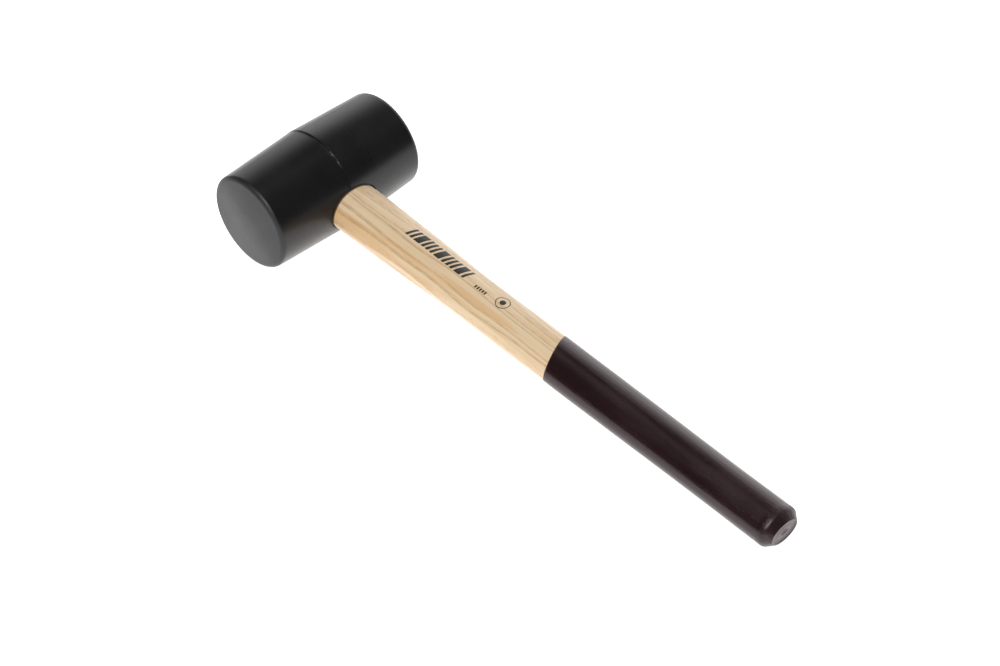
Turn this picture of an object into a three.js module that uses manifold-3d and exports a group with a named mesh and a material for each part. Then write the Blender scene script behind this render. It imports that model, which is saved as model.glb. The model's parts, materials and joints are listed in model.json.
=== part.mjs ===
// Rubber mallet with an oval ash handle and a dipped grip.
//
// A moulded rubber barrel head is pushed on to the tapered tenon of one oval handle. A hardwood
// wedge in a saw kerf and two steel cross wedges spread the tenon, and a thin coat covers the grip.
//
// Millimetres. The mallet lies on its side as it rests on a table, on its barrel and its butt: +X
// runs along the handle to the butt, the barrel's axis is along Y and +Z is up. The origin is under
// the middle of the mallet's box.

import * as THREE from 'three';
import { mergeVertices } from 'three/addons/utils/BufferGeometryUtils.js';
import Module from 'manifold-3d';

// Rubber head: a barrel that tapers from its mould parting line to two flat striking faces.

const HEAD_DIAMETER = 65;
const HEAD_FACE_DIAMETER = 60.3;
const HEAD_LENGTH = 108.6;
const HEAD_EDGE_RADIUS = 3;

// Ash handle. Places along it are distances from the barrel's axis. Every section is an oval: its
// height is along the barrel's axis, as the mallet swings, and its width is across that.

const TENON_END = { at: - 31, height: 29, width: 23 };

// Where the handle is gauged, from the tenon's root to the grip, and its oval there.

const HANDLE_GAUGES = [
	{ at: 20, height: 34.6, width: 26.4 },
	{ at: 45, height: 33.7, width: 25.8 },
	{ at: 90, height: 31.8, width: 24.8 },
	{ at: 122, height: 29.6, width: 23.3 },
	{ at: 152, height: 29.2, width: 23 },
	{ at: 190, height: 29.3, width: 23.1 },
	{ at: 250, height: 28.7, width: 22.8 },
	{ at: 320, height: 27.8, width: 22.2 },
	{ at: 362, height: 28, width: 22.4 },
];

// Dipped grip coat: a film over a cut-down grip, standing a little proud of the bare wood. The
// handle is dipped at a slant, so the coat's edge lies in a tilted plane.

const BUTT_END = 368.6;
const BUTT_ROUND_LENGTH = 5.5;
const BUTT_ROUND_DEPTH = 4.2;
const COAT_THICKNESS = 0.55;
const COAT_STEP = 0.25;
const COAT_EDGE = 196.6;
const COAT_EDGE_SLOPE_Y = - 0.369;
const COAT_EDGE_SLOPE_Z = 0.098;

// Wedges in the tenon: one of hardwood across the whole tenon, and two of steel that cross it.
// A wedge's start is its thick end, and it is turned about the handle's axis.

const WOOD_WEDGE = { start: TENON_END.at, depth: 26, width: 30, thick: 3.4, tip: 1, offset: 0, turn: 90 };
const STEEL_WEDGE = { start: TENON_END.at + 0.3, depth: 15, width: 14, thick: 2.4, tip: 0.7 };
const STEEL_WEDGE_OFFSET = 5.6;
const STEEL_WEDGE_TURN = 8;

// Room between pieces, cutters' overrun, and facets.

const GAP = 0.3;
const OVERRUN = 2;
const CUTTER_SIZE = 600;
const HEAD_SIDES = 72;
const HANDLE_SIDES = 48;
const SIDE_STEPS = 14;
const ROUND_STEPS = 4;
const MERGE_DISTANCE = 1e-4;

const wasm = await Module();
wasm.setup();

// A closed geometry as a solid. The triangles at a lathe's poles that have two corners in one
// place are left out.

function toSolid( geometry ) {

	const bare = geometry.clone();
	bare.deleteAttribute( 'normal' );
	bare.deleteAttribute( 'uv' );
	const merged = mergeVertices( bare, MERGE_DISTANCE );
	const index = merged.index.array;
	const corners = [];

	for ( let i = 0; i < index.length; i += 3 ) {

		const [ a, b, c ] = index.subarray( i, i + 3 );
		if ( a !== b && b !== c && c !== a ) corners.push( a, b, c );

	}

	return new wasm.Manifold( new wasm.Mesh( {
		numProp: 3,
		vertProperties: new Float32Array( merged.attributes.position.array ),
		triVerts: new Uint32Array( corners ),
	} ) );

}

function toGeometry( solid ) {

	const mesh = solid.getMesh();
	const geometry = new THREE.BufferGeometry();
	geometry.setAttribute( 'position', new THREE.BufferAttribute( mesh.vertProperties, 3 ) );
	geometry.setIndex( new THREE.BufferAttribute( mesh.triVerts, 1 ) );
	geometry.computeVertexNormals();
	return geometry;

}

// The barrel: two cones that meet at the parting line, with a rounded edge round each flat face.

function barrel() {

	const end = HEAD_LENGTH / 2;
	const slope = ( HEAD_DIAMETER - HEAD_FACE_DIAMETER ) / HEAD_LENGTH;
	const tilt = Math.atan( slope );
	const edgeAt = end - HEAD_EDGE_RADIUS;
	const edgeCentre = HEAD_DIAMETER / 2 - slope * edgeAt - HEAD_EDGE_RADIUS / Math.cos( tilt );

	const profile = new THREE.Path();
	profile.moveTo( 0, - end );
	profile.lineTo( edgeCentre, - end );
	profile.absarc( edgeCentre, - edgeAt, HEAD_EDGE_RADIUS, - Math.PI / 2, - tilt );
	profile.lineTo( HEAD_DIAMETER / 2, 0 );
	profile.absarc( edgeCentre, edgeAt, HEAD_EDGE_RADIUS, tilt, Math.PI / 2 );
	profile.lineTo( 0, end );

	return toSolid( new THREE.LatheGeometry( profile.getPoints( ROUND_STEPS / 2 ), HEAD_SIDES ) );

}

// One side of the handle from the tenon's end to the butt's flat, moved out by `grow`: how far its
// surface is from the axis, measured across its `gauge`. The tenon is drawn from `start` on.

function handleSide( gauge, grow, start ) {

	const root = HANDLE_GAUGES[ 0 ];
	const tenonSlope = ( root[ gauge ] - TENON_END[ gauge ] ) / 2 / ( root.at - TENON_END.at );
	const startHalf = TENON_END[ gauge ] / 2 + tenonSlope * ( start - TENON_END.at );
	const gauges = HANDLE_GAUGES.map( ( at ) => new THREE.Vector2( at[ gauge ] / 2, at.at ) );
	const side = [ new THREE.Vector2( startHalf, start ) ];
	side.push( ...new THREE.SplineCurve( gauges ).getPoints( SIDE_STEPS ) );

	const endHalf = gauges[ gauges.length - 1 ].x;
	const end = BUTT_END - COAT_STEP;

	for ( let i = 0; i <= ROUND_STEPS; i ++ ) {

		const angle = Math.PI / 2 * i / ROUND_STEPS;
		const half = endHalf - BUTT_ROUND_DEPTH * ( 1 - Math.cos( angle ) );
		const at = end - BUTT_ROUND_LENGTH * ( 1 - Math.sin( angle ) );
		side.push( new THREE.Vector2( half, at + grow ) );

	}

	const profile = side.map( ( point ) => new THREE.Vector2( point.x + grow, point.y ) );
	profile.unshift( new THREE.Vector2( 0, start ) );
	profile.push( new THREE.Vector2( 0, end + grow ) );
	return profile;

}

// The handle blank along X, with its surface moved out by `grow`: a lathed shape that is squeezed
// from its height to its width, ring by ring.

function handleBlank( grow, start = TENON_END.at ) {

	const heights = handleSide( 'height', grow, start );
	const widths = handleSide( 'width', grow, start );
	const geometry = new THREE.LatheGeometry( heights, HANDLE_SIDES );
	const position = geometry.attributes.position;

	for ( let i = 0; i < position.count; i ++ ) {

		const ring = i % heights.length;
		const squeeze = heights[ ring ].x > 0 ? widths[ ring ].x / heights[ ring ].x : 1;
		position.setZ( i, position.getZ( i ) * squeeze );

	}

	geometry.rotateZ( - Math.PI / 2 );
	return toSolid( geometry );

}

// Everything on the butt's side of the coat's slanted edge, moved along by `shift`.

function beyondCoatEdge( shift ) {

	const alongX = new THREE.Vector3( 1, 0, 0 );
	const across = new THREE.Vector3( 1, - COAT_EDGE_SLOPE_Y, - COAT_EDGE_SLOPE_Z ).normalize();
	const geometry = new THREE.BoxGeometry( CUTTER_SIZE, CUTTER_SIZE, CUTTER_SIZE );
	geometry.translate( CUTTER_SIZE / 2 + shift, 0, 0 );
	geometry.applyQuaternion( new THREE.Quaternion().setFromUnitVectors( alongX, across ) );
	geometry.translate( COAT_EDGE, 0, 0 );
	return toSolid( geometry );

}

// A wedge driven along +X, thick at its start. With a clearance and an overrun it is the cutter
// for the wedge's own slot.

function wedge( { start, depth, width, thick, tip, offset, turn }, clearance = 0, overrun = 0 ) {

	const taper = ( thick - tip ) / 2 / depth;
	const thickHalf = thick / 2 + taper * overrun + clearance;
	const tipHalf = tip / 2 + clearance;
	const from = start - overrun;
	const to = start + depth + clearance;

	const outline = new THREE.Shape( [
		new THREE.Vector2( from, - thickHalf ),
		new THREE.Vector2( to, - tipHalf ),
		new THREE.Vector2( to, tipHalf ),
		new THREE.Vector2( from, thickHalf ),
	] );

	const across = width + 2 * clearance;
	const geometry = new THREE.ExtrudeGeometry( outline, { depth: across, bevelEnabled: false } );
	geometry.translate( 0, 0, - across / 2 );
	geometry.rotateX( THREE.MathUtils.degToRad( turn ) );
	geometry.translate( 0, offset, 0 );
	return toSolid( geometry );

}

function slotFor( dimensions ) {

	return wedge( dimensions, GAP, OVERRUN );

}

function piece( name, solid, finish ) {

	const mesh = new THREE.Mesh( toGeometry( solid ), new THREE.MeshStandardMaterial( finish ) );
	mesh.name = name;
	return mesh;

}

const BLACK_RUBBER = { color: 0x1d1d1f, roughness: 0.5, metalness: 0 };
const BARE_ASH = { color: 0xdcc29a, roughness: 0.6, metalness: 0 };
const BROWN_COAT = { color: 0x2a1717, roughness: 0.25, metalness: 0 };
const BEECH = { color: 0xb98c5e, roughness: 0.7, metalness: 0 };
const STEEL = { color: 0x8f9295, roughness: 0.4, metalness: 1 };

// The mallet about the middle of its barrel, with the handle straight along X.

const mallet = new THREE.Group();

const steelWedges = [
	{ ...STEEL_WEDGE, offset: - STEEL_WEDGE_OFFSET, turn: STEEL_WEDGE_TURN },
	{ ...STEEL_WEDGE, offset: STEEL_WEDGE_OFFSET, turn: - STEEL_WEDGE_TURN },
];

// Head, with the tapered eye for the tenon.

const eye = handleBlank( GAP, - HEAD_DIAMETER / 2 - OVERRUN );
mallet.add( piece( 'rubber_head', barrel().subtract( eye ), BLACK_RUBBER ) );

// Handle: full size up to the coat's edge, cut down under the coat, and slotted for the wedges.

const bareEnd = handleBlank( 0 ).subtract( beyondCoatEdge( 0 ) );
const gripCore = handleBlank( COAT_STEP - COAT_THICKNESS - GAP ).intersect( beyondCoatEdge( - GAP ) );
let handle = bareEnd.add( gripCore ).subtract( slotFor( WOOD_WEDGE ) );
let woodWedge = wedge( WOOD_WEDGE ).intersect( handleBlank( 0 ) );

for ( const dimensions of steelWedges ) {

	handle = handle.subtract( slotFor( dimensions ) );
	woodWedge = woodWedge.subtract( slotFor( dimensions ) );

}

mallet.add( piece( 'ash_handle', handle, BARE_ASH ) );
mallet.add( piece( 'wood_wedge', woodWedge, BEECH ) );

steelWedges.forEach( ( dimensions, i ) => {

	mallet.add( piece( `steel_wedge_${ i + 1 }`, wedge( dimensions ), STEEL ) );

} );

// Coat over the grip and the butt, open at its slanted edge.

const coatOutside = handleBlank( COAT_STEP ).intersect( beyondCoatEdge( GAP ) );
const coatInside = handleBlank( COAT_STEP - COAT_THICKNESS );
mallet.add( piece( 'grip_coating', coatOutside.subtract( coatInside ), BROWN_COAT ) );

// At rest the handle droops until the butt meets the surface that the barrel lies on.

const contactAt = BUTT_END - BUTT_ROUND_LENGTH;
const contactHalf = HANDLE_GAUGES[ HANDLE_GAUGES.length - 1 ].width / 2 + COAT_STEP;
const reach = Math.hypot( contactAt, contactHalf );
mallet.rotation.y = Math.asin( HEAD_DIAMETER / 2 / reach ) - Math.atan2( contactHalf, contactAt );

const part = new THREE.Group();
part.add( mallet );
part.updateMatrixWorld( true );
const box = new THREE.Box3().setFromObject( part, true );
const middle = box.getCenter( new THREE.Vector3() );
mallet.position.set( - middle.x, - middle.y, - box.min.z );

export default part;
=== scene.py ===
# A rubber mallet with an oval ash handle and a dipped grip, lying at rest on a pale floor.
#
# The sections follow the mallet as it is put together: the handle is shaped, stamped and dipped,
# the head is pushed on to its tenon, and the wedges are driven. The studio comes last.

import json
import math

import bmesh
import bpy
from mathutils import Matrix, Vector, noise


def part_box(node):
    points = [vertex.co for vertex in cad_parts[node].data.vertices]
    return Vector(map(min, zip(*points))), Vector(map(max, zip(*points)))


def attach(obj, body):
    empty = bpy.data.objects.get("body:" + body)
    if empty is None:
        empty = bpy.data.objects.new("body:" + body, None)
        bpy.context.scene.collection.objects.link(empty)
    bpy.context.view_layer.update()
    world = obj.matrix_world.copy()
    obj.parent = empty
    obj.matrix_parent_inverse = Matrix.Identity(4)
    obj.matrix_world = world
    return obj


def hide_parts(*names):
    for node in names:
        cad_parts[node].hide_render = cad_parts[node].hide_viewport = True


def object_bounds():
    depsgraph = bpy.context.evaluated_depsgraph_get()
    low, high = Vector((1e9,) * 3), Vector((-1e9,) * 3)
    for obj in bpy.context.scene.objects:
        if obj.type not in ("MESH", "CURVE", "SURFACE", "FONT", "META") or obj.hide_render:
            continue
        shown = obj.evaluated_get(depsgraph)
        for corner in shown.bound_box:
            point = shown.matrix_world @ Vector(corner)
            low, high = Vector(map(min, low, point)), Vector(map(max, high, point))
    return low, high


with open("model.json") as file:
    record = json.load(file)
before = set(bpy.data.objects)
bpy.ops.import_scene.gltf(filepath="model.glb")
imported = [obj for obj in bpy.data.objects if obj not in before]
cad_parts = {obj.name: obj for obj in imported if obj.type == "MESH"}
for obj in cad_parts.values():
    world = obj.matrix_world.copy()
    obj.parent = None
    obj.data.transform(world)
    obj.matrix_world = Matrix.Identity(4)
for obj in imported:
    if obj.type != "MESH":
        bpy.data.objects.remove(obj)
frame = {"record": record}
cad_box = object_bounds()

# ---------------------------------------------------------------------------------------------
# The bench. The mallet is put together about the middle of its head, with the handle straight
# along X and the head's axis along Y, and each finished piece then lies where the frame has it.
# ---------------------------------------------------------------------------------------------

MM = 0.001

mounts = {mount["name"]: mount for mount in frame["record"]["mounts"]}
near_face = Vector(mounts["near_striking_face"]["pos_m"])
far_face = Vector(mounts["far_striking_face"]["pos_m"])
butt_face = Vector(mounts["butt_face"]["pos_m"])
handle_line = Vector(mounts["butt_face"]["axis"]).normalized()
head_middle = (near_face + far_face) / 2
droop = Vector((1, 0, 0)).rotation_difference(handle_line).to_matrix().to_4x4()
bench = Matrix.Translation(head_middle) @ droop


def finish_piece(name, mesh, material, node, sharp_above=40):
    """A mesh made on the bench, smooth but for its sharp edges, in the place of its CAD node."""
    mesh.materials.clear()
    mesh.materials.append(material)
    mesh.shade_smooth()
    mesh.set_sharp_from_angle(angle=math.radians(sharp_above))
    piece = bpy.data.objects.new(name, mesh)
    bpy.context.scene.collection.objects.link(piece)
    piece.matrix_world = bench
    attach(piece, "root")
    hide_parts(node)


# ---------------------------------------------------------------------------------------------
# Ash handle: one length of straight-grained ash, copied to an oval on a lathe, sanded and left
# bare. Its tapered tenon is kerfed for the wedges, and the grip is cut down to take the coat.
# ---------------------------------------------------------------------------------------------

HANDLE_SIDES = 144
HANDLE_STEPS = 110
HIDDEN_STEPS = 40
HANDLE_END = (butt_face - head_middle).dot(handle_line)
TENON_END = -31 * MM
TENON_CHAMFER = 0.5 * MM
CUT_END_SHARES = (0.3, 0.6, 0.85)

# The oval's gauges: distance from the head's middle, half height along Y and half width across it.
TENON_GAUGE = (TENON_END, 14.5 * MM, 11.5 * MM)
HANDLE_GAUGES = [
    (20 * MM, 16.8 * MM, 12.7 * MM),
    (45 * MM, 16.85 * MM, 12.9 * MM),
    (90 * MM, 15.9 * MM, 12.4 * MM),
    (122 * MM, 14.8 * MM, 11.65 * MM),
    (152 * MM, 14.6 * MM, 11.5 * MM),
    (190 * MM, 14.65 * MM, 11.55 * MM),
    (250 * MM, 14.35 * MM, 11.4 * MM),
    (320 * MM, 13.9 * MM, 11.1 * MM),
    (362 * MM, 14 * MM, 11.2 * MM),
]

# The coat's edge slants. It crosses the handle's axis at COAT_EDGE, and these are its slopes.
COAT_EDGE = 196.6 * MM
COAT_EDGE_SLOPE_Y = -0.369
COAT_EDGE_SLOPE_Z = 0.098
COAT_STEP = 0.25 * MM
COAT_THICKNESS = 0.55 * MM
TIGHT = 0.05 * MM

# The wood inside the coat stops short of the butt, with a chamfer of its own.
CORE_SHORT = 2.1 * MM
CORE_CHAMFER = 5 * MM
CORE_CHAMFER_DEPTH = 4 * MM


def steps(start, end, count):
    return [start + (end - start) * i / count for i in range(count + 1)]


def ease(low, high, value):
    t = min(max((value - low) / (high - low), 0), 1)
    return t * t * (3 - 2 * t)


def smooth_through(gauges, place, column):
    """A column of the gauges at a place between them, on a smooth curve."""
    spot = next((i for i, gauge in enumerate(gauges) if gauge[0] > place), len(gauges) - 1) - 1
    before, after = gauges[max(spot - 1, 0)], gauges[min(spot + 2, len(gauges) - 1)]
    low, high = gauges[spot], gauges[spot + 1]
    slope_in = (high[column] - before[column]) / (high[0] - before[0])
    slope_out = (after[column] - low[column]) / (after[0] - low[0])
    t = (place - low[0]) / (high[0] - low[0])
    value = low[column] * (1 + 2 * t) * (1 - t) ** 2 + high[column] * t * t * (3 - 2 * t)
    return value + (high[0] - low[0]) * (slope_in * t * (1 - t) ** 2 - slope_out * t * t * (1 - t))


def halves(place):
    """The handle's half height and half width at a place along it."""
    root, last = HANDLE_GAUGES[0], HANDLE_GAUGES[-1]
    if place <= root[0]:
        share = (place - TENON_END) / (root[0] - TENON_END)
        return tuple(TENON_GAUGE[i] + (root[i] - TENON_GAUGE[i]) * share for i in (1, 2))
    if place >= last[0]:
        return last[1:]
    return tuple(smooth_through(HANDLE_GAUGES, place, i) for i in (1, 2))


def oval(place, half_height, half_width):
    """A ring of points round the handle. Near the coat's edge it slants as the edge does."""
    slant = ease(150 * MM, 190 * MM, place) - ease(215 * MM, 260 * MM, place)
    ring = []
    for i in range(HANDLE_SIDES):
        angle = 2 * math.pi * i / HANDLE_SIDES
        y, z = half_height * math.sin(angle), half_width * math.cos(angle)
        ring.append(Vector((place + slant * (COAT_EDGE_SLOPE_Y * y + COAT_EDGE_SLOPE_Z * z), y, z)))
    return ring


def round_handle(place, out=0.0):
    """The ring where the handle's surface, moved out, is at a place."""
    half_height, half_width = halves(place)
    return oval(place, half_height + out, half_width + out)


def pole(place):
    return [Vector((place, 0, 0))]


def skin(name, rings, hollow=False):
    """A closed mesh over rings of points, with a ring of one point where it closes. A hollow mesh's
    last ring joins its first."""
    form = bmesh.new()
    loops = [[form.verts.new(point) for point in ring] for ring in rings]
    for low, high in list(zip(loops, loops[1:])) + [(loops[-1], loops[0])] * hollow:
        sides = max(len(low), len(high))
        for i in range(sides if sides > 1 else 0):
            j = i + 1
            corners = [low[i % len(low)], low[j % len(low)], high[j % len(high)], high[i % len(high)]]
            form.faces.new(list(dict.fromkeys(corners)))
    bmesh.ops.recalc_face_normals(form, faces=form.faces)
    mesh = bpy.data.meshes.new(name)
    form.to_mesh(mesh)
    form.free()
    return mesh


def carve(mesh, cutters, operation="DIFFERENCE"):
    """The mesh with the cutter meshes taken out of it, or with only what they share."""
    work = bpy.data.objects.new("work", mesh)
    bpy.context.scene.collection.objects.link(work)
    tools = []
    for cutter in cutters:
        tool = bpy.data.objects.new("tool", cutter)
        bpy.context.scene.collection.objects.link(tool)
        cut = work.modifiers.new("cut", "BOOLEAN")
        cut.operation = operation
        cut.solver = "EXACT"
        cut.object = tool
        tools.append(tool)
    carved = bpy.data.meshes.new_from_object(work.evaluated_get(bpy.context.evaluated_depsgraph_get()))
    carved.name = mesh.name
    for spent in [work, *tools]:
        bpy.data.objects.remove(spent)
    return carved


# The wedges and the slots that they sit in. A wedge is thick where it starts, at the tenon's end,
# and lies flat in X and Y before it is turned about the handle's axis.
WOOD_WEDGE = dict(start=TENON_END, depth=26 * MM, width=32 * MM, thick=3.4 * MM, tip=1 * MM, turn=0)
STEEL_WEDGE = dict(start=TENON_END + 0.2 * MM, depth=15 * MM, width=14 * MM, thick=2.4 * MM, tip=0.7 * MM)
STEEL_WEDGES = {
    "steel_wedge_1": dict(STEEL_WEDGE, turn=98, offset=-5.6 * MM),
    "steel_wedge_2": dict(STEEL_WEDGE, turn=82, offset=5.6 * MM),
}
OVERRUN = 2 * MM


def wedge(name, start, depth, width, thick, tip, turn, offset=0, room=0, overrun=0):
    """A wedge along the handle. With room round it and an overrun it cuts the wedge's slot."""
    taper = (thick - tip) / 2 / depth
    form = bmesh.new()
    ends = [
        (start - overrun, thick / 2 + taper * overrun + room),
        (start + depth + room, tip / 2 + room),
    ]
    side = width / 2 + room
    outlines = [[(x, -side, -half), (x, side, -half), (x, side, half), (x, -side, half)] for x, half in ends]
    thick_end, tip_end = [[form.verts.new(corner) for corner in outline] for outline in outlines]
    form.faces.new(thick_end)
    form.faces.new(tip_end)
    for i in range(4):
        j = (i + 1) % 4
        form.faces.new([thick_end[i], thick_end[j], tip_end[j], tip_end[i]])
    bmesh.ops.recalc_face_normals(form, faces=form.faces)
    form.transform(Matrix.Translation((0, offset, 0)) @ Matrix.Rotation(math.radians(turn), 4, "X"))
    mesh = bpy.data.meshes.new(name)
    form.to_mesh(mesh)
    form.free()
    return mesh


def slot_for(sizes):
    return wedge("slot", **sizes, room=TIGHT, overrun=OVERRUN)


# Growth rings, pores and fibres of a log that the piece is cut from, with its grain along X. The
# rings are shells round the log's pith, so they show as lines on one side and arches on another.
timber = bpy.data.node_groups.new("timber grain", "ShaderNodeTree")
for socket, kind, value in [
    ("Position", "NodeSocketVector", (0, 0, 0)),
    ("Pith", "NodeSocketVector", (0, 0, 0)),
    ("Ring Width", "NodeSocketFloat", 0.004),
    ("Wander", "NodeSocketFloat", 0.002),
    ("Pore Cover", "NodeSocketFloat", 0.4),
]:
    timber.interface.new_socket(socket, in_out="INPUT", socket_type=kind).default_value = value
for socket in ["Early Wood", "Pores", "Fibre", "Ring Tone"]:
    timber.interface.new_socket(socket, in_out="OUTPUT", socket_type="NodeSocketFloat")


class Wiring:
    """Places nodes in a node tree and wires them: an input is given a number, a colour or an output."""

    def __init__(self, tree):
        self.tree = tree

    def node(self, kind, settings=None, **inputs):
        made = self.tree.nodes.new("ShaderNode" + kind)
        for name, value in (settings or {}).items():
            setattr(made, name, value)
        for name, value in inputs.items():
            self.plug(made, name, value)
        return made

    def plug(self, made, name, value):
        socket = made.inputs[int(name[1:])] if name[0] == "_" else made.inputs[name.replace("_", " ")]
        if isinstance(value, bpy.types.NodeSocket):
            self.tree.links.new(value, socket)
        else:
            socket.default_value = value

    def math(self, operation, *values, clamp=False):
        inputs = {f"_{i}": value for i, value in enumerate(values)}
        return self.node("Math", dict(operation=operation, use_clamp=clamp), **inputs).outputs[0]

    def vector(self, operation, *values):
        inputs = {f"_{i}": value for i, value in enumerate(values)}
        made = self.node("VectorMath", dict(operation=operation), **inputs)
        return made.outputs["Value" if operation in ("LENGTH", "DOT_PRODUCT", "DISTANCE") else "Vector"]

    def noise(self, position, scale, detail=2.0, roughness=0.5):
        """Noise whose features are 1 / scale metres across, with a scale for each axis."""
        spread = self.vector("MULTIPLY", position, scale)
        made = self.node("TexNoise", Vector=spread, Scale=1.0, Detail=detail, Roughness=roughness)
        return made.outputs["Fac"]

    def fade(self, value, low, high, start=0.0, end=1.0):
        """Start at low, end at high, with an eased change between them."""
        settings = dict(interpolation_type="SMOOTHSTEP")
        ends = dict(From_Min=low, From_Max=high, To_Min=start, To_Max=end)
        return self.node("MapRange", settings, Value=value, **ends).outputs[0]

    def blend(self, share, first, second):
        """The first colour with a share of the second over it."""
        made = self.node("Mix", dict(data_type="RGBA"), _0=share, _6=first, _7=second)
        return made.outputs[2]


# The grain's unevenness: features to a metre along the log and across it.
BEND_SCALE = (5, 30, 30)
PORE_SCALE = (170, 2300, 2300)
FIBRE_SCALE = (26, 900, 900)

# Good and bad years: how fast they come and go, and how many rings they shift.
CLIMATE_SCALE = 0.47
CLIMATE_SHIFT = 2.6

tree = Wiring(timber)
log = timber.nodes.new("NodeGroupInput").outputs
from_pith = tree.node("SeparateXYZ", _0=tree.vector("SUBTRACT", log["Position"], log["Pith"]))
across_log = tree.node("CombineXYZ", _1=from_pith.outputs[1], _2=from_pith.outputs[2]).outputs[0]
bend = tree.math("SUBTRACT", tree.noise(log["Position"], BEND_SCALE, 2.0), 0.5)
growth = tree.math("MULTIPLY_ADD", bend, log["Wander"], tree.vector("LENGTH", across_log))
even = tree.math("DIVIDE", growth, log["Ring Width"])
one_way = dict(noise_dimensions="1D")
climate = tree.node("TexNoise", one_way, W=even, Scale=CLIMATE_SCALE, Detail=1.0).outputs["Fac"]
ring = tree.math("MULTIPLY_ADD", climate, CLIMATE_SHIFT, even)
season = tree.math("FRACT", ring)
year = tree.node("TexWhiteNoise", one_way, W=tree.math("FLOOR", ring)).outputs["Value"]
spring = tree.fade(season, 0.0, 0.07)
summer = tree.fade(season, 0.12, 0.75, 1.0, 0.0)
early = tree.math("MULTIPLY", spring, summer)
pore_noise = tree.noise(log["Position"], PORE_SCALE, 2.0, 0.6)
pore_edge = tree.math("MULTIPLY_ADD", tree.math("MULTIPLY", early, log["Pore Cover"]), -0.35, 0.72)
pores = tree.fade(tree.math("SUBTRACT", pore_noise, pore_edge), 0.0, 0.06)
fibre = tree.noise(log["Position"], FIBRE_SCALE, 4.0, 0.65)
grown = timber.nodes.new("NodeGroupOutput")
for name, value in [("Early Wood", early), ("Pores", pores), ("Fibre", fibre), ("Ring Tone", year)]:
    timber.links.new(value, grown.inputs[name])


def new_material(name):
    material = bpy.data.materials.new(name)
    material.use_nodes = True
    tree = Wiring(material.node_tree)
    shader = material.node_tree.nodes["Principled BSDF"]
    position = tree.node("TexCoord").outputs["Object"]
    return material, tree, shader, position


# The log's pith lies beyond the handle's near side.
LOG_PITH = (0, -84 * MM, -22 * MM)
ASH_RING_WIDTH = 3.6 * MM
ASH_WANDER = 20 * MM
GRAIN_DEPTH = 0.12 * MM


def ash_grain(tree, position, pore_cover):
    grain = tree.node("Group", dict(node_tree=timber), Position=position, Ring_Width=ASH_RING_WIDTH)
    tree.plug(grain, "Pith", LOG_PITH)
    tree.plug(grain, "Wander", ASH_WANDER)
    tree.plug(grain, "Pore Cover", pore_cover)
    return grain.outputs


# The barrel, beside which the handle is painted nearly black where it comes out of the eye: painted
# shade in the joint's gap, with a brown stain. The barrel narrows from its middle to each face.
NARROWING = 2.35 * MM
NARROWING_LENGTH = 54.3 * MM

head_low, head_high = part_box("rubber_head")
HEAD_HALF = (head_high.y - head_low.y) / 2
HEAD_RADIUS = (head_high.z - head_low.z) / 2
HEAD_TAPER = NARROWING / NARROWING_LENGTH

# The stamp on top of the bare handle: a row of plain slanted bars, a short dashed row and a ring
# with a dot, printed in black ink that skips the open pores.
BARS_START = 77.5 * MM
BARS_END = 125.5 * MM
BARS_SIDE = 2.1 * MM
BAR_SLANT = 0.3
BAR_HALF_HEIGHT = 4 * MM
BAR_WIDTHS = [2.2, 2.2, 5.2, 2.2, 2.2, 2.2, 5.2, 2.2, 2.2, 2.2, 5.2, 2.2]
BAR_SPACE = 1.5
DASHES = dict(start=133.6 * MM, end=143 * MM, side=-1.1 * MM, half_height=1.1 * MM, count=5)
DASH_SHARE = 0.62
RING_AT = Vector((153.8 * MM, 1.1 * MM))
RING_RADIUS = 4.3 * MM
RING_LINE = 0.27 * MM
RING_DOT = 1.9 * MM


def stamp_ink(tree, position):
    """How much ink lies at a place on the handle's upper side."""
    axes = tree.node("SeparateXYZ", _0=position).outputs
    x, y = axes[0], axes[1]
    slanted = tree.math("MULTIPLY_ADD", tree.math("SUBTRACT", y, BARS_SIDE), -BAR_SLANT, x)
    run = tree.math("DIVIDE", tree.math("SUBTRACT", slanted, BARS_START), BARS_END - BARS_START)
    bars = tree.node("ValToRGB", Fac=run)
    bars.color_ramp.interpolation = "CONSTANT"
    length = sum(BAR_WIDTHS) + BAR_SPACE * (len(BAR_WIDTHS) - 1)
    stops = bars.color_ramp.elements
    stops[0].color = stops[1].color = (0, 0, 0, 1)
    at = 0
    inset = 0.002
    for width in BAR_WIDTHS:
        stops.new(max(at / length, inset)).color = (1, 1, 1, 1)
        stops.new(min((at + width) / length, 1 - inset)).color = (0, 0, 0, 1)
        at += width + BAR_SPACE
    height = tree.math("COMPARE", y, BARS_SIDE, BAR_HALF_HEIGHT)
    ink = tree.math("MULTIPLY", bars.outputs[0], height)

    pitch = (DASHES["end"] - DASHES["start"]) / DASHES["count"]
    beat = tree.math("FRACT", tree.math("DIVIDE", tree.math("SUBTRACT", x, DASHES["start"]), pitch))
    dash = tree.math("LESS_THAN", beat, DASH_SHARE)
    middle = (DASHES["start"] + DASHES["end"]) / 2
    in_row = tree.math("COMPARE", x, middle, (DASHES["end"] - DASHES["start"]) / 2)
    in_line = tree.math("COMPARE", y, DASHES["side"], DASHES["half_height"])
    ink = tree.math("ADD", ink, tree.math("MULTIPLY", dash, tree.math("MULTIPLY", in_row, in_line)))

    spot = tree.node("CombineXYZ", _0=x, _1=y).outputs[0]
    out = tree.vector("DISTANCE", spot, (*RING_AT, 0))
    ink = tree.math("ADD", ink, tree.math("COMPARE", out, RING_RADIUS, RING_LINE))
    ink = tree.math("ADD", ink, tree.math("LESS_THAN", out, RING_DOT))
    upper = tree.math("GREATER_THAN", axes[2], 0.0)
    return tree.math("MULTIPLY", ink, upper, clamp=True)


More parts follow.
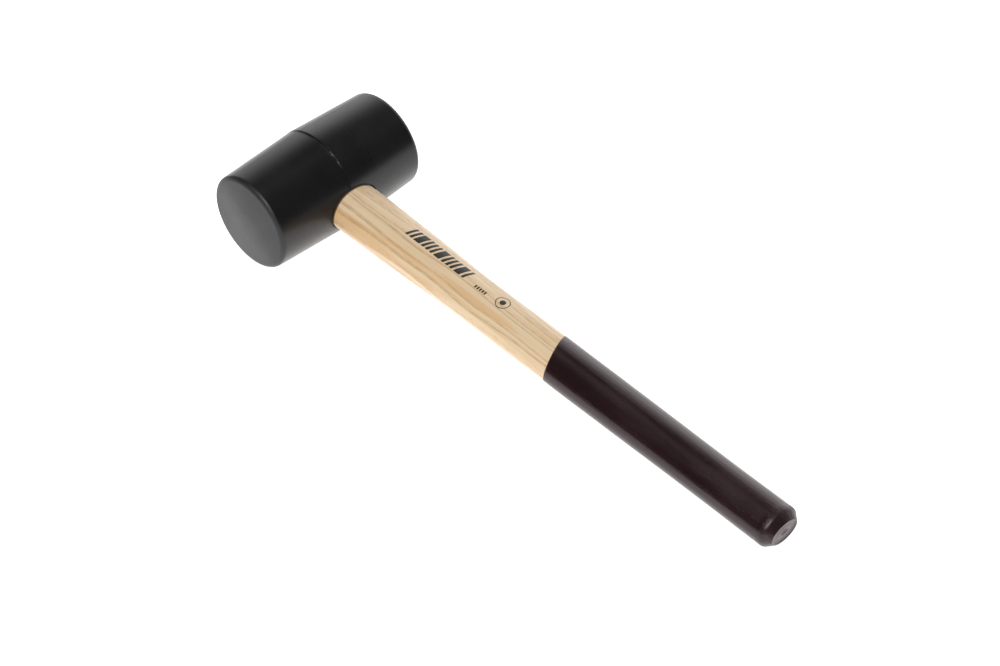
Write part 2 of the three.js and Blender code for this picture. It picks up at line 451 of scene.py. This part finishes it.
PALE_ASH = (0.76, 0.585, 0.38, 1)
DEEP_ASH = (0.705, 0.525, 0.315, 1)
BRIGHT_FIBRE = (0.78, 0.62, 0.43, 1)
TAN_STREAK = (0.68, 0.42, 0.2, 1)
FINE_LINE = (0.57, 0.395, 0.2, 1)
SPRING_WOOD = (0.52, 0.315, 0.145, 1)
OPEN_PORE = (0.38, 0.21, 0.09, 1)
# Painted shade with a brown stain, for the wood beside the barrel's eye.
MOUTH_SHADE_AND_STAIN = (0.05, 0.021, 0.01, 1)
SAWN_END = (0.36, 0.225, 0.115, 1)
BLACK_INK = (0.005, 0.004, 0.004, 1)

# The painted shade and stain at the eye's mouth fades between two distances from the barrel, and
# the colour of the cut end between two depths below it.
MOUTH_SHADE_DARK = 0.35 * MM
MOUTH_SHADE_CLEAR = 1.05 * MM
CUT_DARK = 0.2 * MM
CUT_CLEAR = 0.6 * MM

# The side that faces the near end of the head is tanned: the change runs between these places.
TAN_START = -2 * MM
TAN_FULL = -10 * MM

# Unevenness of the bare wood: features to a metre along the handle and across it.
PATCH_SCALE = (9, 60, 60)
TAN_SCALE = (11, 230, 230)
LINE_SCALE = (13, 520, 520)


def bare_ash():
    material, tree, shader, position = new_material("bare ash")
    early, pores, fibre, tone = ash_grain(tree, position, pore_cover=0.75)
    axes = tree.node("SeparateXYZ", _0=position).outputs

    patch = tree.noise(position, PATCH_SCALE, 2.0)
    wood = tree.blend(tree.fade(patch, 0.3, 0.7), PALE_ASH, DEEP_ASH)
    wood = tree.blend(tree.fade(fibre, 0.3, 0.75, 0.0, 0.7), wood, BRIGHT_FIBRE)
    near_side = tree.fade(axes[1], TAN_START, TAN_FULL, 0.2, 0.75)
    tan = tree.fade(tree.noise(position, TAN_SCALE, 3.0), 0.48, 0.62)
    wood = tree.blend(tree.math("MULTIPLY", tan, near_side), wood, TAN_STREAK)
    line = tree.fade(tree.noise(position, LINE_SCALE, 2.0), 0.52, 0.66, 0.0, 0.34)
    wood = tree.blend(line, wood, FINE_LINE)
    strong_here = tree.fade(patch, 0.25, 0.6, 0.45, 1.0)
    depth = tree.math("MULTIPLY", tree.math("MULTIPLY_ADD", tone, 0.4, 0.18), strong_here)
    wood = tree.blend(tree.math("MULTIPLY", early, depth), wood, SPRING_WOOD)
    wood = tree.blend(tree.math("MULTIPLY", pores, 0.4), wood, OPEN_PORE)

    from_head = tree.vector("LENGTH", tree.node("CombineXYZ", _0=axes[0], _2=axes[2]).outputs[0])
    barrel_here = tree.math("MULTIPLY_ADD", tree.math("ABSOLUTE", axes[1]), -HEAD_TAPER, HEAD_RADIUS)
    clear = tree.math("SUBTRACT", from_head, barrel_here)
    outside = tree.math("GREATER_THAN", axes[0], 0.0)
    # Painted shade with a brown stain: the wood darkens to near black beside the barrel, where the gap at
    # the eye's mouth lies in shade.
    mouth_shade_and_stain = tree.math("MULTIPLY", tree.fade(clear, MOUTH_SHADE_DARK, MOUTH_SHADE_CLEAR, 0.97, 0.0), outside)
    wood = tree.blend(mouth_shade_and_stain, wood, MOUTH_SHADE_AND_STAIN)
    cut_end = tree.fade(axes[0], TENON_END + CUT_DARK, TENON_END + CUT_CLEAR, 0.55, 0.0)
    wood = tree.blend(cut_end, wood, SAWN_END)
    ink = tree.math("MULTIPLY", stamp_ink(tree, position), tree.fade(fibre, 0.22, 0.3, 0.88, 1.0))
    tree.plug(shader, "Base Color", tree.blend(ink, wood, BLACK_INK))

    shader.inputs["Sheen Weight"].default_value = 0.16
    shader.inputs["Sheen Roughness"].default_value = 0.5
    tree.plug(shader, "Roughness", tree.fade(fibre, 0.2, 0.8, 0.36, 0.48))
    relief = tree.math("MULTIPLY_ADD", pores, -0.6, tree.math("MULTIPLY", fibre, 0.5))
    bump = tree.node("Bump", Height=relief, Strength=0.25, Distance=GRAIN_DEPTH)
    tree.plug(shader, "Normal", bump.outputs[0])
    return material


rings = [pole(TENON_END)]
for share in CUT_END_SHARES:
    rings.append(oval(TENON_END, TENON_GAUGE[1] * share, TENON_GAUGE[2] * share))
rings += [round_handle(TENON_END, -TENON_CHAMFER)]
rings += [round_handle(place) for place in steps(TENON_END + TENON_CHAMFER, COAT_EDGE, HANDLE_STEPS)]
core = COAT_STEP - COAT_THICKNESS - TIGHT
core_end = HANDLE_END - CORE_SHORT
core_steps = steps(COAT_EDGE, core_end - CORE_CHAMFER, HIDDEN_STEPS)
rings += [round_handle(place, core) for place in core_steps]
rings += [round_handle(core_end, -CORE_CHAMFER_DEPTH), pole(core_end)]
blank = skin("shaped_handle", rings)
slots = [slot_for(WOOD_WEDGE)] + [slot_for(sizes) for sizes in STEEL_WEDGES.values()]
finish_piece("shaped_handle", carve(blank, slots), bare_ash(), "ash_handle")

# ---------------------------------------------------------------------------------------------
# Grip coat: the grip end is dipped at a slant in dark brown lacquer. The film has a soft lip at its
# edge, shows the grain beneath it, and dries to a dished flat with a beaded rim on the butt.
# ---------------------------------------------------------------------------------------------

BUTT_ROUND_LENGTH = 6 * MM
BUTT_ROUND_DEPTH = 4.2 * MM
LIP_LENGTH = 0.5 * MM
LIP_STEPS = 6

# The butt's softened chamfer: the share of its length, and the share of its depth.
BUTT_CHAMFER = [(0.1, 0.012), (0.2, 0.05), (0.3, 0.125), (0.4, 0.235), (0.5, 0.36), (0.6, 0.49)]
BUTT_CHAMFER += [(0.7, 0.615), (0.8, 0.74), (0.88, 0.835), (0.94, 0.91), (0.98, 0.965), (1, 1)]

# The butt's flat, from its rim inwards: the share of its size, and millimetres below its rim.
BUTT_FLAT = [(0.975, 0.01), (0.95, 0.1), (0.91, 0.34), (0.85, 0.6), (0.76, 0.74), (0.64, 0.78), (0.52, 0.7)]
BUTT_FLAT += [(0.43, 0.55), (0.37, 0.5), (0.31, 0.58), (0.25, 0.85), (0.17, 1.1), (0.08, 1.22)]
BUTT_DISH = 1.3 * MM

# The coat's inside stops short of the butt too, and holds the chamfered end of the wood.
INNER_SHORT = 2 * MM
INNER_CHAMFER = 4.5 * MM
INNER_CHAMFER_DEPTH = 3.8 * MM

flat_height, flat_width = (half + COAT_STEP - BUTT_ROUND_DEPTH for half in halves(HANDLE_END))
round_start = HANDLE_END - BUTT_ROUND_LENGTH

BROWN_LACQUER = (0.011, 0.0036, 0.0042, 1)
WARM_LACQUER = (0.016, 0.0055, 0.006, 1)
THIN_LACQUER = (0.11, 0.04, 0.012, 1)
DRIED_LACQUER = (0.085, 0.058, 0.064, 1)

# The film is thin and fringed at its edge, dry on the butt's flat, and dull and wrinkled near it.
FRINGE_START = 0.1 * MM
FRINGE_END = 0.8 * MM
DRY_START = 1.7 * MM
DRY_FULL = 1.2 * MM
DULL_RUN = 2 * MM
WRINKLE_START = 5 * MM
WRINKLE_FULL = 1 * MM

# Unevenness of the film: features to a metre along the handle and across it.
CLOUD_SCALE = (25, 70, 70)
PEEL_SCALE = (120, 420, 420)
WRINKLE_SCALE = (300, 420, 420)

# Divides the place along the handle, so that only the place across it counts.
ANY_LENGTH = 1e6


def dipped_brown():
    material, tree, shader, position = new_material("dipped brown lacquer")
    grain = ash_grain(tree, position, pore_cover=0.9)
    axes = tree.node("SeparateXYZ", _0=position).outputs

    cloud = tree.noise(position, CLOUD_SCALE, 3.0)
    color = tree.blend(tree.fade(cloud, 0.3, 0.7), BROWN_LACQUER, WARM_LACQUER)
    edge = tree.math("MULTIPLY_ADD", axes[1], COAT_EDGE_SLOPE_Y, COAT_EDGE)
    edge = tree.math("MULTIPLY_ADD", axes[2], COAT_EDGE_SLOPE_Z, edge)
    thin = tree.fade(tree.math("SUBTRACT", axes[0], edge), FRINGE_START, FRINGE_END, 0.85, 0.0)
    color = tree.blend(thin, color, THIN_LACQUER)
    in_flat = tree.vector("DIVIDE", position, (ANY_LENGTH, flat_height, flat_width))
    from_middle = tree.vector("LENGTH", in_flat)
    at_end = tree.fade(axes[0], HANDLE_END - DRY_START, HANDLE_END - DRY_FULL, 0.0, 0.8)
    dried = tree.math("MULTIPLY", at_end, tree.fade(from_middle, 1.03, 0.97))
    tree.plug(shader, "Base Color", tree.blend(dried, color, DRIED_LACQUER))

    dull = tree.fade(axes[0], round_start - DULL_RUN, round_start, 0.0, 0.1)
    tree.plug(shader, "Roughness", tree.math("ADD", dull, tree.fade(cloud, 0.25, 0.75, 0.2, 0.3)))
    shader.inputs["Specular Tint"].default_value = (1, 0.84, 0.87, 1)

    peel = tree.noise(position, PEEL_SCALE, 2.0)
    relief = tree.math("MULTIPLY_ADD", grain["Early Wood"], -0.35, tree.math("MULTIPLY", peel, 0.6))
    relief = tree.math("MULTIPLY_ADD", grain["Pores"], -0.25, relief)
    wrinkle_start, wrinkle_full = round_start - WRINKLE_START, round_start - WRINKLE_FULL
    near_butt = tree.fade(axes[0], wrinkle_start, wrinkle_full, 0.0, 6.0)
    wrinkles = tree.noise(position, WRINKLE_SCALE, 2.0)
    relief = tree.math("MULTIPLY_ADD", wrinkles, near_butt, relief)
    bump = tree.node("Bump", Height=relief, Strength=0.4, Distance=GRAIN_DEPTH)
    tree.plug(shader, "Normal", bump.outputs[0])
    return material


rings = []
for i in range(LIP_STEPS):
    angle = math.pi / 2 * i / LIP_STEPS
    rings.append(round_handle(COAT_EDGE + LIP_LENGTH * (1 - math.cos(angle)), COAT_STEP * math.sin(angle)))
film = steps(COAT_EDGE + LIP_LENGTH, round_start, HANDLE_STEPS)
rings += [round_handle(place, COAT_STEP) for place in film]
for along, inward in BUTT_CHAMFER:
    place = round_start + BUTT_ROUND_LENGTH * along
    rings.append(round_handle(place, COAT_STEP - BUTT_ROUND_DEPTH * inward))
for share, depth in BUTT_FLAT:
    rings.append(oval(HANDLE_END - depth * MM, flat_height * share, flat_width * share))
rings.append(pole(HANDLE_END - BUTT_DISH))
inner_end = HANDLE_END - INNER_SHORT
inner = COAT_STEP - COAT_THICKNESS
rings += [pole(inner_end), round_handle(inner_end, -INNER_CHAMFER_DEPTH)]
inner_steps = steps(COAT_EDGE, inner_end - INNER_CHAMFER, HIDDEN_STEPS)
rings += [round_handle(place, inner) for place in reversed(inner_steps)]
coat = skin("dipped_grip", rings, hollow=True)
finish_piece("dipped_grip", coat, dipped_brown(), "grip_coating", 50)

# ---------------------------------------------------------------------------------------------
# Rubber head: a solid barrel of hard black rubber, moulded in two halves that leave a fine flash
# at their parting line. Its striking faces are slightly crowned, and its eye takes the tenon.
# ---------------------------------------------------------------------------------------------

HEAD_SIDES = 256
EDGE_RADIUS = 3 * MM
CROWN = 0.9 * MM

# The parting line across the barrel, in millimetres: place along its axis, and height above the
# barrel. The far half stands a little proud, with a fine groove between it and the near one.
MISMATCH = 0.09 * MM
PARTING = [(-0.8, -0.09), (-0.58, -0.46), (-0.3, -0.48), (-0.12, 0.03), (0.06, 0.08), (0.24, 0.08)]

# The trimming's unevenness: how often it changes round the barrel, and how far it wanders.
TRIM_RUN = 9
TRIM_WANDER = 0.12
TRIM_LEVEL = 0.65
TRIM_SWING = 0.6

BARREL_STEPS = 40
EDGE_STEPS = 14
CROWN_STEPS = 16


def round_head(place, radius):
    turns = [2 * math.pi * i / HEAD_SIDES for i in range(HEAD_SIDES if radius else 1)]
    return [Vector((radius * math.sin(turn), place, radius * math.cos(turn))) for turn in turns]


def half_barrel(proud):
    """Half the barrel's outline, from beside the parting line to the middle of the crowned face."""
    tilt = math.atan(HEAD_TAPER)
    edge_at = HEAD_HALF - EDGE_RADIUS
    edge_middle = HEAD_RADIUS + proud - HEAD_TAPER * edge_at - EDGE_RADIUS / math.cos(tilt)
    sides = steps(1 * MM, edge_at, BARREL_STEPS)[:-1]
    half = [(y, HEAD_RADIUS + proud - HEAD_TAPER * y) for y in sides]
    for i in range(EDGE_STEPS + 1):
        angle = tilt + (math.pi / 2 - tilt) * i / EDGE_STEPS
        half.append((edge_at + EDGE_RADIUS * math.sin(angle), edge_middle + EDGE_RADIUS * math.cos(angle)))
    for i in range(1, CROWN_STEPS):
        share = 1 - i / CROWN_STEPS
        half.append((HEAD_HALF + CROWN * (1 - share**2), edge_middle * share))
    return half + [(HEAD_HALF + CROWN, 0)]


def trimmed(place, height):
    """A ring at the parting line, uneven because the flash is trimmed by hand."""
    ring = []
    for i in range(HEAD_SIDES):
        turn = 2 * math.pi * i / HEAD_SIDES
        spot = Vector((math.sin(turn), math.cos(turn), 0)) * TRIM_RUN
        radius = HEAD_RADIUS + height * MM * (TRIM_LEVEL + TRIM_SWING * noise.noise(spot))
        along = (place + TRIM_WANDER * noise.noise(spot * 3)) * MM
        ring.append(Vector((radius * math.sin(turn), along, radius * math.cos(turn))))
    return ring


def barrel():
    rings = [round_head(-y, radius) for y, radius in reversed(half_barrel(-MISMATCH))]
    rings += [trimmed(place, height) for place, height in PARTING]
    rings += [round_head(y, radius) for y, radius in half_barrel(MISMATCH)]
    return skin("rubber_barrel", rings)


# The eye's mouth, in millimetres: depth below the barrel, and how far it is from the tenon there.
MOUTH = [(-3, 0.85), (0, 0.8), (0.1, 0.66), (0.35, 0.54), (1, 0.42), (2.2, 0.15), (3.4, 0)]
EYE_REACH = 60 * MM


def round_eye(side, depth, out):
    """The ring of the eye that lies at a depth below the barrel, moved out from the tenon."""
    ring = []
    half_height, half_width = halves(side * (HEAD_RADIUS - depth))
    for i in range(HANDLE_SIDES):
        angle = 2 * math.pi * i / HANDLE_SIDES
        y, z = (half_height + out) * math.sin(angle), (half_width + out) * math.cos(angle)
        x = side * (math.sqrt((HEAD_RADIUS - HEAD_TAPER * abs(y)) ** 2 - z**2) - depth)
        height_here, width_here = halves(x)
        ring.append(Vector((x, (height_here + out) * math.sin(angle), (width_here + out) * math.cos(angle))))
    return ring


def eye_cutter():
    """The tapered eye, which opens towards its mouth on both sides of the barrel."""
    mouth = [(depth * MM, TIGHT + out * MM) for depth, out in MOUTH]
    rings = [pole(EYE_REACH)] + [round_eye(1, depth, out) for depth, out in mouth]
    rings += [round_eye(-1, depth, out) for depth, out in reversed(mouth)] + [pole(-EYE_REACH)]
    return skin("eye", rings)


BLACK_RUBBER = (0.0052, 0.0052, 0.0058, 1)
WORN_RUBBER = (0.007, 0.007, 0.0077, 1)
RUBBER_BLOOM = (0.03, 0.03, 0.031, 1)
# Scuffed grey of the faces, which also carries a painted reflection.
SCUFFED_FACE_AND_REFLECTION = (0.057, 0.0575, 0.0605, 1)

# A face's look begins inside its rounded edge. Its scuffed grey carries a painted reflection: it grows
# from the upper corner, on the handle's side, to the lower one, with a wavering border.
FACE_EDGE = 2.6 * MM
FACE_FULL = 1.2 * MM
SCUFF_REFLECTION_HIGH = 24 * MM
SCUFF_REFLECTION_LOW = -18 * MM
SCUFF_REFLECTION_WAVER = 12 * MM
MOULD_DEPTH = 0.1 * MM

# Unevenness of the rubber: features to a metre, the same each way.
RUBBER_CLOUD = (45, 45, 45)
BLOOM_SCALE = (140, 140, 140)
MOULD_WAVES = (210, 210, 210)
MOULD_GRIT = (1500, 1500, 1500)


def moulded_rubber():
    material, tree, shader, position = new_material("moulded black rubber")
    axes = tree.node("SeparateXYZ", _0=position).outputs
    out = tree.math("ABSOLUTE", axes[1])
    face = tree.fade(out, HEAD_HALF - FACE_EDGE, HEAD_HALF - FACE_FULL)

    cloud = tree.noise(position, RUBBER_CLOUD, 4.0)
    bloom = tree.fade(tree.noise(position, BLOOM_SCALE, 5.0, 0.7), 0.5, 0.8)
    color = tree.blend(tree.fade(cloud, 0.3, 0.7), BLACK_RUBBER, WORN_RUBBER)
    color = tree.blend(tree.math("MULTIPLY", bloom, 0.05), color, RUBBER_BLOOM)
    slope = tree.math("ADD", axes[0], axes[2])
    # Real scuffing with a painted reflection: the face is painted lighter towards its lower corner, away
    # from the handle.
    scuff_and_reflection = tree.fade(tree.math("MULTIPLY_ADD", cloud, SCUFF_REFLECTION_WAVER, slope), SCUFF_REFLECTION_HIGH, SCUFF_REFLECTION_LOW, 0.25, 1.0)
    color = tree.blend(tree.math("MULTIPLY", face, scuff_and_reflection), color, SCUFFED_FACE_AND_REFLECTION)
    tree.plug(shader, "Base Color", color)

    side_rough = tree.fade(cloud, 0.25, 0.75, 0.265, 0.3)
    face_rough = tree.fade(cloud, 0.25, 0.75, 0.42, 0.52)
    change = tree.math("SUBTRACT", face_rough, side_rough)
    tree.plug(shader, "Roughness", tree.math("MULTIPLY_ADD", face, change, side_rough))
    shader.inputs["Specular IOR Level"].default_value = 0.36

    grit = tree.noise(position, MOULD_GRIT, 3.0, 0.6)
    waves = tree.noise(position, MOULD_WAVES, 3.0)
    relief = tree.math("MULTIPLY_ADD", waves, 1.2, tree.math("MULTIPLY", grit, 0.3))
    bump = tree.node("Bump", Height=relief, Strength=0.16, Distance=MOULD_DEPTH)
    tree.plug(shader, "Normal", bump.outputs[0])
    return material


finish_piece("rubber_barrel", carve(barrel(), [eye_cutter()]), moulded_rubber(), "rubber_head", 60)

# ---------------------------------------------------------------------------------------------
# Hardwood wedge: sawn beech, glued and driven across the whole tenon, then cut off with it and
# split in its turn by the steel wedges.
# ---------------------------------------------------------------------------------------------

BEECH_PITH = (0, 4 * MM, -40 * MM)
BEECH_RING_WIDTH = 2.2 * MM
SAW_DEPTH = 0.1 * MM
PALE_BEECH = (0.40, 0.24, 0.12, 1)
BRIGHT_BEECH = (0.52, 0.33, 0.18, 1)
BEECH_RING = (0.30, 0.16, 0.075, 1)
BEECH_FLECK = (0.2, 0.1, 0.045, 1)
FLECK_SCALE = (1900, 500, 1900)


def sawn_beech():
    material, tree, shader, position = new_material("sawn beech")
    grain = tree.node("Group", dict(node_tree=timber), Position=position, Ring_Width=BEECH_RING_WIDTH)
    tree.plug(grain, "Pith", BEECH_PITH)
    early, fibre = grain.outputs["Early Wood"], grain.outputs["Fibre"]
    wood = tree.blend(tree.fade(fibre, 0.3, 0.7), PALE_BEECH, BRIGHT_BEECH)
    wood = tree.blend(tree.math("MULTIPLY", early, 0.35), wood, BEECH_RING)
    flecks = tree.fade(tree.noise(position, FLECK_SCALE, 2.0), 0.6, 0.68)
    wood = tree.blend(tree.math("MULTIPLY", flecks, 0.5), wood, BEECH_FLECK)
    tree.plug(shader, "Base Color", wood)
    tree.plug(shader, "Roughness", tree.fade(fibre, 0.2, 0.8, 0.6, 0.8))
    bump = tree.node("Bump", Height=fibre, Strength=0.4, Distance=SAW_DEPTH)
    tree.plug(shader, "Normal", bump.outputs[0])
    return material


wedge_reach = 10 * MM
rings = [pole(TENON_END)] + [round_handle(place) for place in steps(TENON_END, wedge_reach, 20)]
tenon = skin("tenon", rings + [pole(wedge_reach)])
slab = carve(wedge("beech_wedge", **WOOD_WEDGE), [tenon], "INTERSECT")
slab = carve(slab, [slot_for(sizes) for sizes in STEEL_WEDGES.values()])
finish_piece("beech_wedge", slab, sawn_beech(), "wood_wedge", 30)

# ---------------------------------------------------------------------------------------------
# Steel wedges: two small stamped wedges driven across the beech one, with hammered ends and rounded
# edges. They lock the tenon in the eye.
# ---------------------------------------------------------------------------------------------

WEDGE_EDGE = 0.25 * MM

BRIGHT_STEEL = (0.42, 0.42, 0.43, 1)
DULL_STEEL = (0.30, 0.30, 0.31, 1)
RUST_BLOOM = (0.16, 0.075, 0.035, 1)
STEEL_CLOUD = (400, 400, 400)
RUST_SCALE = (900, 900, 900)
DENT_SCALE = (700, 700, 700)
DENT_DEPTH = 0.15 * MM


def stamped_steel():
    material, tree, shader, position = new_material("stamped steel")
    cloud = tree.noise(position, STEEL_CLOUD, 4.0, 0.6)
    rust = tree.fade(tree.noise(position, RUST_SCALE, 4.0, 0.7), 0.56, 0.7)
    color = tree.blend(tree.fade(cloud, 0.3, 0.7), BRIGHT_STEEL, DULL_STEEL)
    color = tree.blend(tree.math("MULTIPLY", rust, 0.45), color, RUST_BLOOM)
    tree.plug(shader, "Base Color", color)
    tree.plug(shader, "Metallic", tree.math("MULTIPLY_ADD", rust, -0.5, 1.0))
    tree.plug(shader, "Roughness", tree.fade(cloud, 0.25, 0.75, 0.34, 0.55))
    dents = tree.noise(position, DENT_SCALE, 2.0)
    bump = tree.node("Bump", Height=dents, Strength=0.5, Distance=DENT_DEPTH)
    tree.plug(shader, "Normal", bump.outputs[0])
    return material


steel = stamped_steel()
for name, sizes in STEEL_WEDGES.items():
    mesh = wedge("stamped_" + name, **sizes)
    form = bmesh.new()
    form.from_mesh(mesh)
    bmesh.ops.bevel(form, geom=form.edges[:], offset=WEDGE_EDGE, segments=3, profile=0.5, affect="EDGES")
    form.to_mesh(mesh)
    form.free()
    finish_piece("stamped_" + name, mesh, steel, name)

# ---------------------------------------------------------------------------------------------
# The studio: a white table that glows from beneath and fades outwards, a large softbox above the
# camera's shoulder, a bright backdrop and a small skylight behind, a ceiling and a dim room.
# ---------------------------------------------------------------------------------------------


def towards(azimuth, elevation):
    """The direction from the mallet to a place in the studio."""
    level = math.cos(elevation)
    return Vector((math.sin(azimuth) * level, -math.cos(azimuth) * level, math.sin(elevation)))



CAMERA_AZIMUTH = math.radians(46.31)
CAMERA_ELEVATION = math.radians(44.24)
CAMERA_ROLL = math.radians(-1.10)
CAMERA_DISTANCE = 1.69
CAMERA_AIM = Vector((-0.00967, -0.00582, 0.01905))
LENS = 108

back = towards(CAMERA_AZIMUTH, CAMERA_ELEVATION)
camera = bpy.data.objects.new("camera", bpy.data.cameras.new("camera"))
camera.data.lens = LENS
camera.data.clip_end = 20
camera.location = CAMERA_AIM + back * CAMERA_DISTANCE
camera.rotation_mode = "QUATERNION"
aimed = back.to_track_quat("Z", "Y").to_matrix().to_4x4() @ Matrix.Rotation(CAMERA_ROLL, 4, "Z")
camera.rotation_quaternion = aimed.to_quaternion()
bpy.context.scene.collection.objects.link(camera)
bpy.context.scene.camera = camera

FLOOR_SIZE = 6
FLOOR_WHITE = (0.88, 0.88, 0.88, 1)
GLOW_WHITE = (1, 1, 1, 1)
FLOOR_GLOW = 0.95
FLOOR_GLOW_FAR = 0.4
GLOW_FADE_START = 0.12
GLOW_FADE_END = 0.7

form = bmesh.new()
bmesh.ops.create_grid(form, x_segments=4, y_segments=4, size=FLOOR_SIZE)
floor_mesh = bpy.data.meshes.new("floor")
form.to_mesh(floor_mesh)
form.free()
table, tree, shader, position = new_material("white table")
shader.inputs["Base Color"].default_value = FLOOR_WHITE
shader.inputs["Roughness"].default_value = 0.9
shader.inputs["Specular IOR Level"].default_value = 0
shader.inputs["Emission Color"].default_value = GLOW_WHITE
away = tree.vector("LENGTH", position)
glow = tree.fade(away, GLOW_FADE_START, GLOW_FADE_END, FLOOR_GLOW, FLOOR_GLOW_FAR)
tree.plug(shader, "Emission Strength", glow)
floor_mesh.materials.append(table)
floor = bpy.data.objects.new("floor", floor_mesh)
floor.location.z = cad_box[0].z
bpy.context.scene.collection.objects.link(floor)

SOFTBOX_SIZE = 1.25
SOFTBOX_DISTANCE = 1.9
SOFTBOX_AZIMUTH = math.radians(30)
SOFTBOX_ELEVATION = math.radians(58)
SOFTBOX_BRIGHTNESS = 7.2

side = towards(SOFTBOX_AZIMUTH, SOFTBOX_ELEVATION)
softbox = bpy.data.objects.new("softbox", bpy.data.lights.new("softbox", "AREA"))
softbox.data.shape = "DISK"
softbox.data.size = SOFTBOX_SIZE
softbox.data.energy = SOFTBOX_BRIGHTNESS * math.pi * math.pi * (SOFTBOX_SIZE / 2) ** 2
softbox.location = side * SOFTBOX_DISTANCE
softbox.rotation_mode = "QUATERNION"
softbox.rotation_quaternion = side.to_track_quat("Z", "Y")
bpy.context.scene.collection.objects.link(softbox)

BACKDROP_TOWARDS = math.radians(202)
BACKDROP_BRIGHTNESS = 2.4
CEILING_BRIGHTNESS = 0.75
SKYLIGHT_TOWARDS = (-0.518, 0.156, 0.841)
SKYLIGHT_BRIGHTNESS = 2.2
ROOM_BRIGHTNESS = 0.1
BACKDROP_WHITE = (0.9, 0.9, 0.9, 1)

world = bpy.data.worlds.new("studio")
bpy.context.scene.world = world
world.use_nodes = True
world.node_tree.nodes.clear()
tree = Wiring(world.node_tree)
look = tree.node("TexCoord").outputs["Generated"]
up = tree.node("SeparateXYZ", _0=look).outputs[2]
across = tree.vector("NORMALIZE", tree.vector("MULTIPLY", look, (1, 1, 0)))
behind = towards(BACKDROP_TOWARDS, 0)
backdrop = tree.fade(tree.vector("DOT_PRODUCT", across, behind), 0.45, 0.95)
backdrop = tree.math("MULTIPLY", backdrop, tree.fade(up, 0.85, 0.35))
glow = tree.math("MULTIPLY_ADD", backdrop, BACKDROP_BRIGHTNESS, ROOM_BRIGHTNESS)
glow = tree.math("MULTIPLY_ADD", tree.fade(up, 0.9, 0.97), CEILING_BRIGHTNESS, glow)
skylight = tree.fade(tree.vector("DOT_PRODUCT", look, SKYLIGHT_TOWARDS), 0.991, 0.999)
glow = tree.math("MULTIPLY_ADD", skylight, SKYLIGHT_BRIGHTNESS, glow)
lighting = tree.node("Background", Strength=glow)
seen = tree.node("Background", Color=BACKDROP_WHITE)
to_camera = tree.node("LightPath").outputs["Is Camera Ray"]
both = tree.node("MixShader", _0=to_camera, _1=lighting.outputs[0], _2=seen.outputs[0])
tree.node("OutputWorld", _0=both.outputs[0])

bpy.context.scene.view_settings.view_transform = "Standard"
